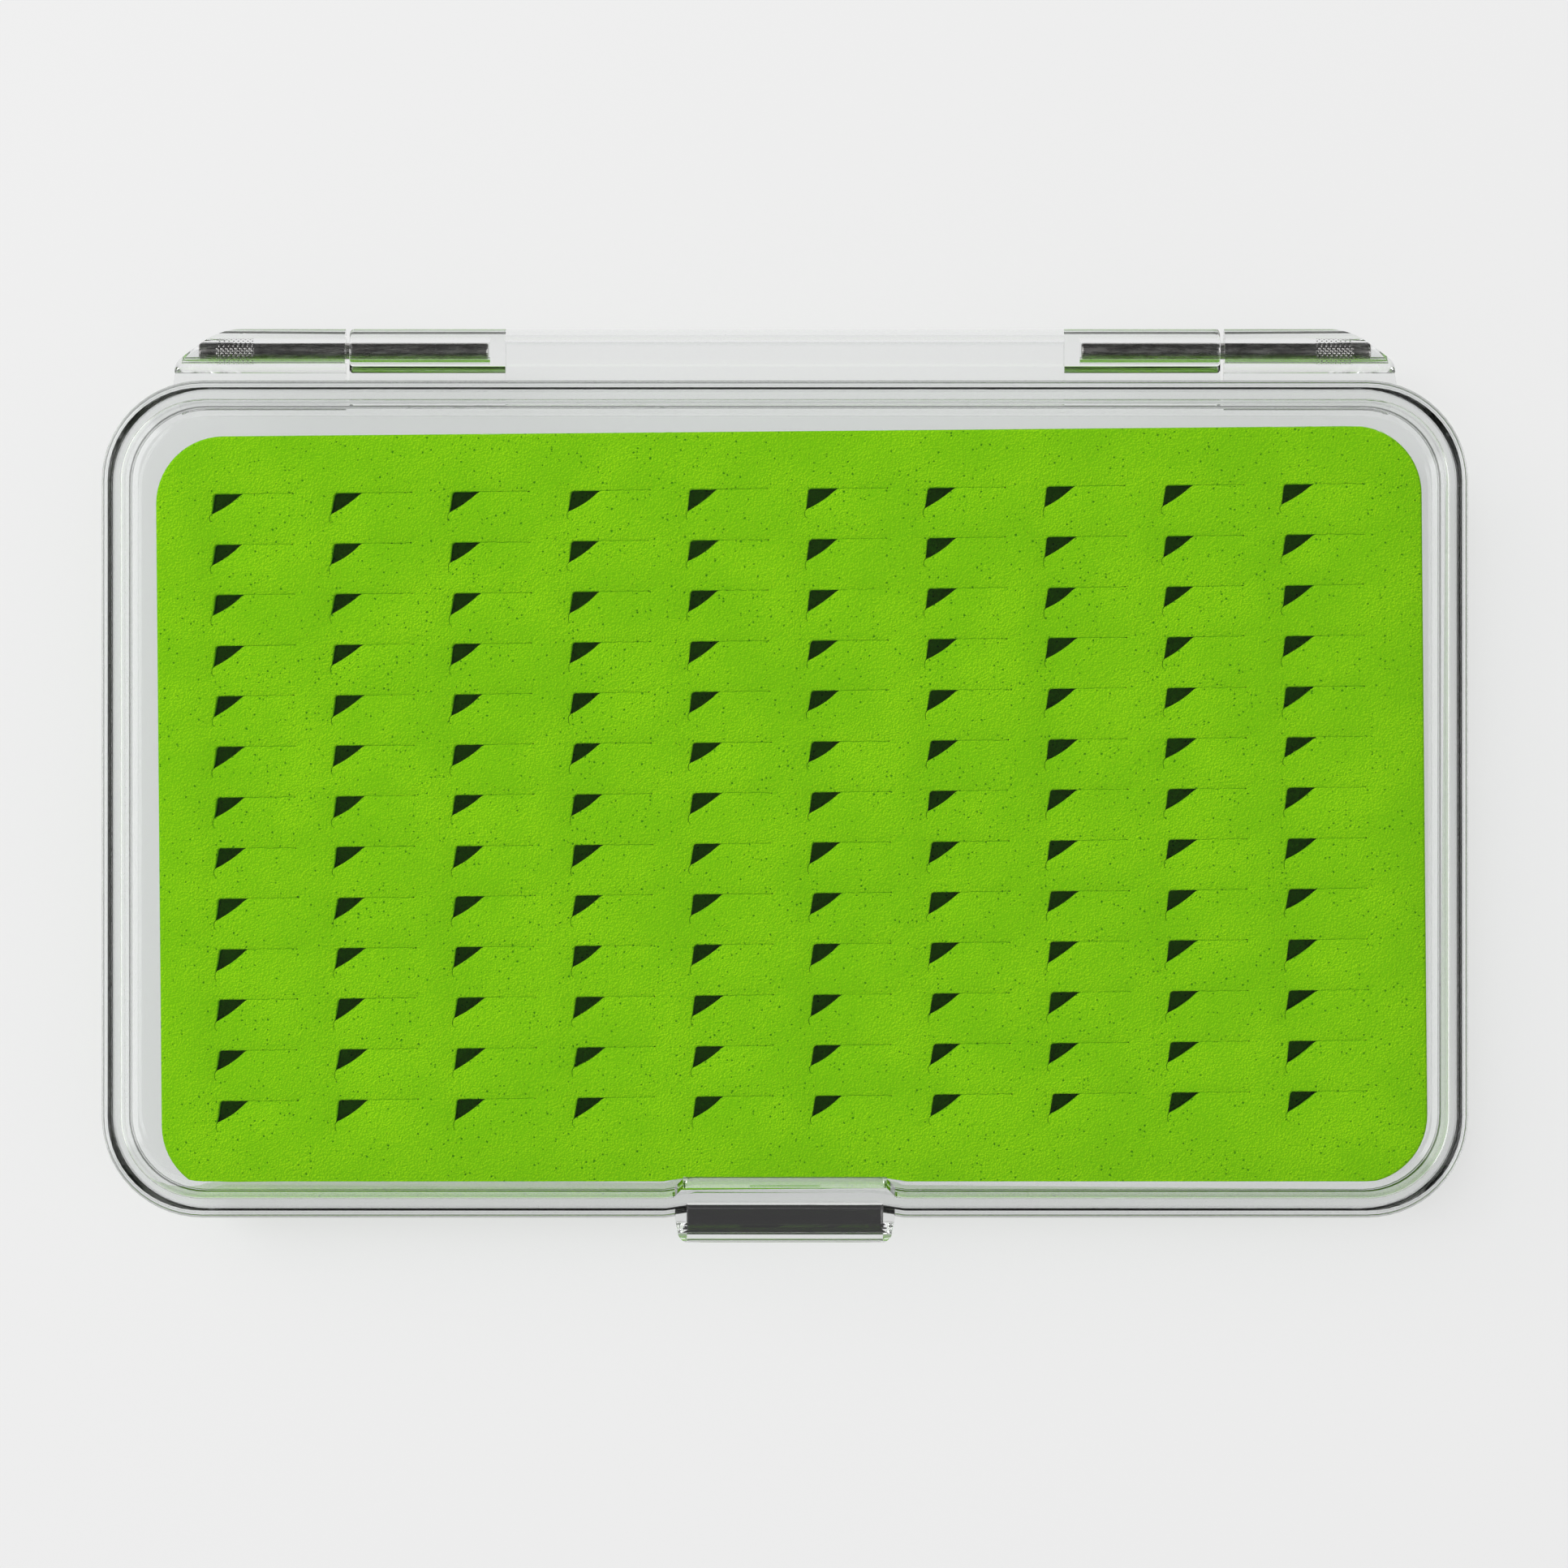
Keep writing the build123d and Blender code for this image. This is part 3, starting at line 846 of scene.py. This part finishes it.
def hinge_pin(settings, side, hinge):
    """One pin with rounded ends and a diamond knurl, on the hinge's line."""
    radius = settings.radius / MM
    start, end = settings.inner_end / MM, settings.outer_end / MM
    knurl_start = settings.knurl_start / MM
    knurl_end = knurl_start + settings.knurl_length / MM
    soft = settings.end_round / MM
    depth = settings.knurl_depth / MM
    groove_pitch, grooves, fade_run = 0.52, 12, 0.2
    flank, mean_tooth = 1.6, 0.55

    def knurl_reach(x, turn):
        """Two sets of helical grooves cross and leave diamond points between them."""
        along = (x - knurl_start) / groove_pitch
        across = turn * grooves / (2 * pi)
        first = abs((along + across) % 1 - 0.5) * 2
        second = abs((along - across) % 1 - 0.5) * 2
        tooth = min(1.0, flank * min(1 - first, 1 - second))
        fade = min(1.0, (x - knurl_start) / fade_run, (knurl_end - x) / fade_run)
        return radius + depth * fade * (tooth - mean_tooth)

    # Where the rings of points stand along the pin, each with its radius, or None in the knurl
    plain_rings, knurl_rings = 8, 84
    rounding = ((0, 1), (0.13, 0.5), (0.5, 0.13), (1, 0))
    stations = [(start + soft * along, radius - soft * inward) for along, inward in rounding]
    run = knurl_start - start - soft
    for i in range(1, plain_rings + 1):
        stations.append((start + soft + run * i / plain_rings, radius))
    run = knurl_end - knurl_start
    for i in range(1, knurl_rings):
        stations.append((knurl_start + run * i / knurl_rings, None))
    stations.append((knurl_end, radius))
    for along, inward in reversed(rounding):
        stations.append((end - soft * along, radius - soft * inward))

    around = 96
    sheet = Sheet()
    rings = []
    for x, own in stations:
        ring = []
        for i in range(around):
            turn = 2 * pi * i / around
            reach = knurl_reach(x, turn) if own is None else own
            ring.append((x * side, hinge[1] + reach * cos(turn), hinge[2] + reach * sin(turn)))
        rings.append(sheet.ring(ring))
    sheet.strips(rings)
    for ring, x in ((rings[0], start), (rings[-1], end)):
        middle = sheet.ring([(x * side, hinge[1], hinge[2])])[0]
        sheet.faces.extend((ring[i], ring[(i + 1) % around], middle) for i in range(around))
    return sheet.build("pin_" + ("right" if side > 0 else "left"), lambda point: point)


class FLYBOX_OT_hinge_pins(bpy.types.Operator):
    """Builds the two steel hinge pins with their knurls"""

    bl_idname = "flybox.hinge_pins"
    bl_label = "Hinge pins"

    def execute(self, context):
        settings = context.scene.fly_box_pins
        steel = pin_steel()
        for side, name in ((-1, "left"), (1, "right")):
            low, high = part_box("hinge_pin_" + name)
            hinge = [(low[i] + high[i]) / 2 / MM for i in range(3)]
            pin = hinge_pin(settings, side, hinge)
            paint(pin, steel)
            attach(pin, "base")
            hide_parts("hinge_pin_" + name)
        return {"FINISHED"}


# ---------------------------------------------------------------- shells


class FLYBOX_OT_shells(bpy.types.Operator):
    """Gives the base and the lid their clear plastic"""

    bl_idname = "flybox.shells"
    bl_label = "Clear shells"

    def execute(self, context):
        material = clear_plastic(context.scene.fly_box_shell)
        for name in ("base", "lid"):
            paint(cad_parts[name], material)
        return {"FINISHED"}


# ---------------------------------------------------------------- stage


def studio_world(settings):
    """A pale backdrop, two softboxes for plastic and steel, and a soft fill for matt pieces."""
    world = bpy.data.worlds.new("studio")
    bpy.context.scene.world = world
    world.use_nodes = True
    world.node_tree.nodes.clear()
    nodes = Nodes(world.node_tree)
    place = nodes.add("ShaderNodeTexCoord").outputs["Generated"]
    way = nodes.add("ShaderNodeSeparateXYZ", {0: place})
    level = nodes.math("POWER", way.outputs["Z"], 2.0)
    level = nodes.math("SQRT", nodes.math("SUBTRACT", 1.0, level, clamp=True))
    level = nodes.math("MAXIMUM", level, 0.001)
    lit = None
    for middle, near, far in SOFTBOXES:
        along = nodes.math("MULTIPLY", way.outputs["X"], cos(radians(middle)))
        along = nodes.math("MULTIPLY_ADD", way.outputs["Y"], sin(radians(middle)), along)
        along = nodes.math("DIVIDE", along, level)
        reach = nodes.ramp(along, cos(radians(near)), cos(radians(far)))
        lit = reach if lit is None else nodes.math("MAXIMUM", lit, reach)
    # They are dim down at the box's level, brightest at half height, and end below the top
    height = nodes.ramp(way.outputs["Z"], 0.3, 0.45, settings.low_light, settings.side_light)
    lit = nodes.math("MULTIPLY", lit, nodes.ramp(way.outputs["Z"], 0.86, 0.94, 1.0, 0.0))
    strength = nodes.math("MULTIPLY_ADD", lit, height, settings.dark_light)
    softboxes, fill, backdrop = (
        nodes.add("ShaderNodeBackground", {"Color": colour, "Strength": power})
        for colour, power in (
            (WHITE, strength),
            (WHITE, settings.fill_light),
            ((*settings.floor_colour, 1.0), 1.0),
        )
    )
    path = nodes.add("ShaderNodeLightPath")
    matt = nodes.mix_shaders(path.outputs["Is Diffuse Ray"], softboxes, fill)
    mix = nodes.mix_shaders(path.outputs["Is Camera Ray"], matt, backdrop)
    nodes.add("ShaderNodeOutputWorld", {"Surface": mix.outputs[0]})


def studio_lamp(name, turn, height, distance, size, power):
    """A square lamp aimed at the box, which only matt pieces and shadows see."""
    data = bpy.data.lights.new(name, "AREA")
    data.shape = "SQUARE"
    data.size = size
    data.energy = power
    obj = bpy.data.objects.new(name, data)
    bpy.context.scene.collection.objects.link(obj)
    way = Vector((cos(turn) * cos(height), sin(turn) * cos(height), sin(height)))
    obj.location = way * distance
    obj.rotation_euler = way.to_track_quat("Z", "Y").to_euler()
    obj.visible_camera = False
    obj.visible_glossy = False
    obj.visible_transmission = False


def studio_floor(settings):
    mesh = bpy.data.meshes.new("studio_floor")
    half = settings.floor_size / 2
    corners = [(-half, -half, 0), (half, -half, 0), (half, half, 0), (-half, half, 0)]
    mesh.from_pydata(corners, [], [(0, 1, 2, 3)])
    obj = bpy.data.objects.new("studio_floor", mesh)
    bpy.context.scene.collection.objects.link(obj)
    obj.location.z = -FLOOR_GAP
    paint(obj, white_paper(settings))


def studio_camera(settings):
    data = bpy.data.cameras.new("camera")
    data.lens = settings.camera_lens
    data.sensor_width = 36.0
    obj = bpy.data.objects.new("camera", data)
    bpy.context.scene.collection.objects.link(obj)
    obj.location = (*settings.camera_offset, settings.camera_height)
    bpy.context.scene.camera = obj


class FLYBOX_OT_stage(bpy.types.Operator):
    """Builds the floor, the light and the camera"""

    bl_idname = "flybox.stage"
    bl_label = "Stage"

    def execute(self, context):
        settings = context.scene.fly_box_stage
        studio_world(settings)
        studio_lamp(
            "key",
            turn=radians(142),
            height=radians(42),
            distance=1.5,
            size=0.7,
            power=settings.key_power,
        )
        studio_floor(settings)
        studio_camera(settings)
        scene = context.scene
        scene.view_settings.view_transform = "Standard"
        scene.cycles.max_bounces = 24
        scene.cycles.transmission_bounces = 24
        scene.cycles.glossy_bounces = 12
        scene.cycles.transparent_max_bounces = 24
        return {"FINISHED"}


# ---------------------------------------------------------------- panel and registration


class FLYBOX_PT_panel(bpy.types.Panel):
    bl_idname = "FLYBOX_PT_panel"
    bl_label = "Fly Box"
    bl_space_type = "VIEW_3D"
    bl_region_type = "UI"
    bl_category = "Fly Box"

    def draw(self, context):
        for title, settings, operator in (
            ("Stage", context.scene.fly_box_stage, "flybox.stage"),
            ("Shells", context.scene.fly_box_shell, "flybox.shells"),
            ("Foam pad", context.scene.fly_box_pad, "flybox.foam_pad"),
            ("Hinge pins", context.scene.fly_box_pins, "flybox.hinge_pins"),
        ):
            box = self.layout.box()
            box.label(text=title)
            for key in settings.bl_rna.properties.keys():
                if key not in {"rna_type", "name"}:
                    box.prop(settings, key)
            box.operator(operator)


CLASSES = (
    FlyBoxShellSettings,
    FlyBoxPadSettings,
    FlyBoxPinSettings,
    FlyBoxStageSettings,
    FLYBOX_OT_stage,
    FLYBOX_OT_shells,
    FLYBOX_OT_foam_pad,
    FLYBOX_OT_hinge_pins,
    FLYBOX_PT_panel,
)


SETTINGS = {
    "fly_box_shell": FlyBoxShellSettings,
    "fly_box_pad": FlyBoxPadSettings,
    "fly_box_pins": FlyBoxPinSettings,
    "fly_box_stage": FlyBoxStageSettings,
}


def register():
    for cls in CLASSES:
        bpy.utils.register_class(cls)
    for name, kind in SETTINGS.items():
        setattr(bpy.types.Scene, name, bpy.props.PointerProperty(type=kind))


def unregister():
    for name in reversed(SETTINGS):
        delattr(bpy.types.Scene, name)
    for cls in reversed(CLASSES):
        bpy.utils.unregister_class(cls)


def main():
    register()
    bpy.ops.flybox.stage()
    bpy.ops.flybox.shells()
    bpy.ops.flybox.foam_pad()
    bpy.ops.flybox.hinge_pins()


if __name__ == "__main__":
    main()
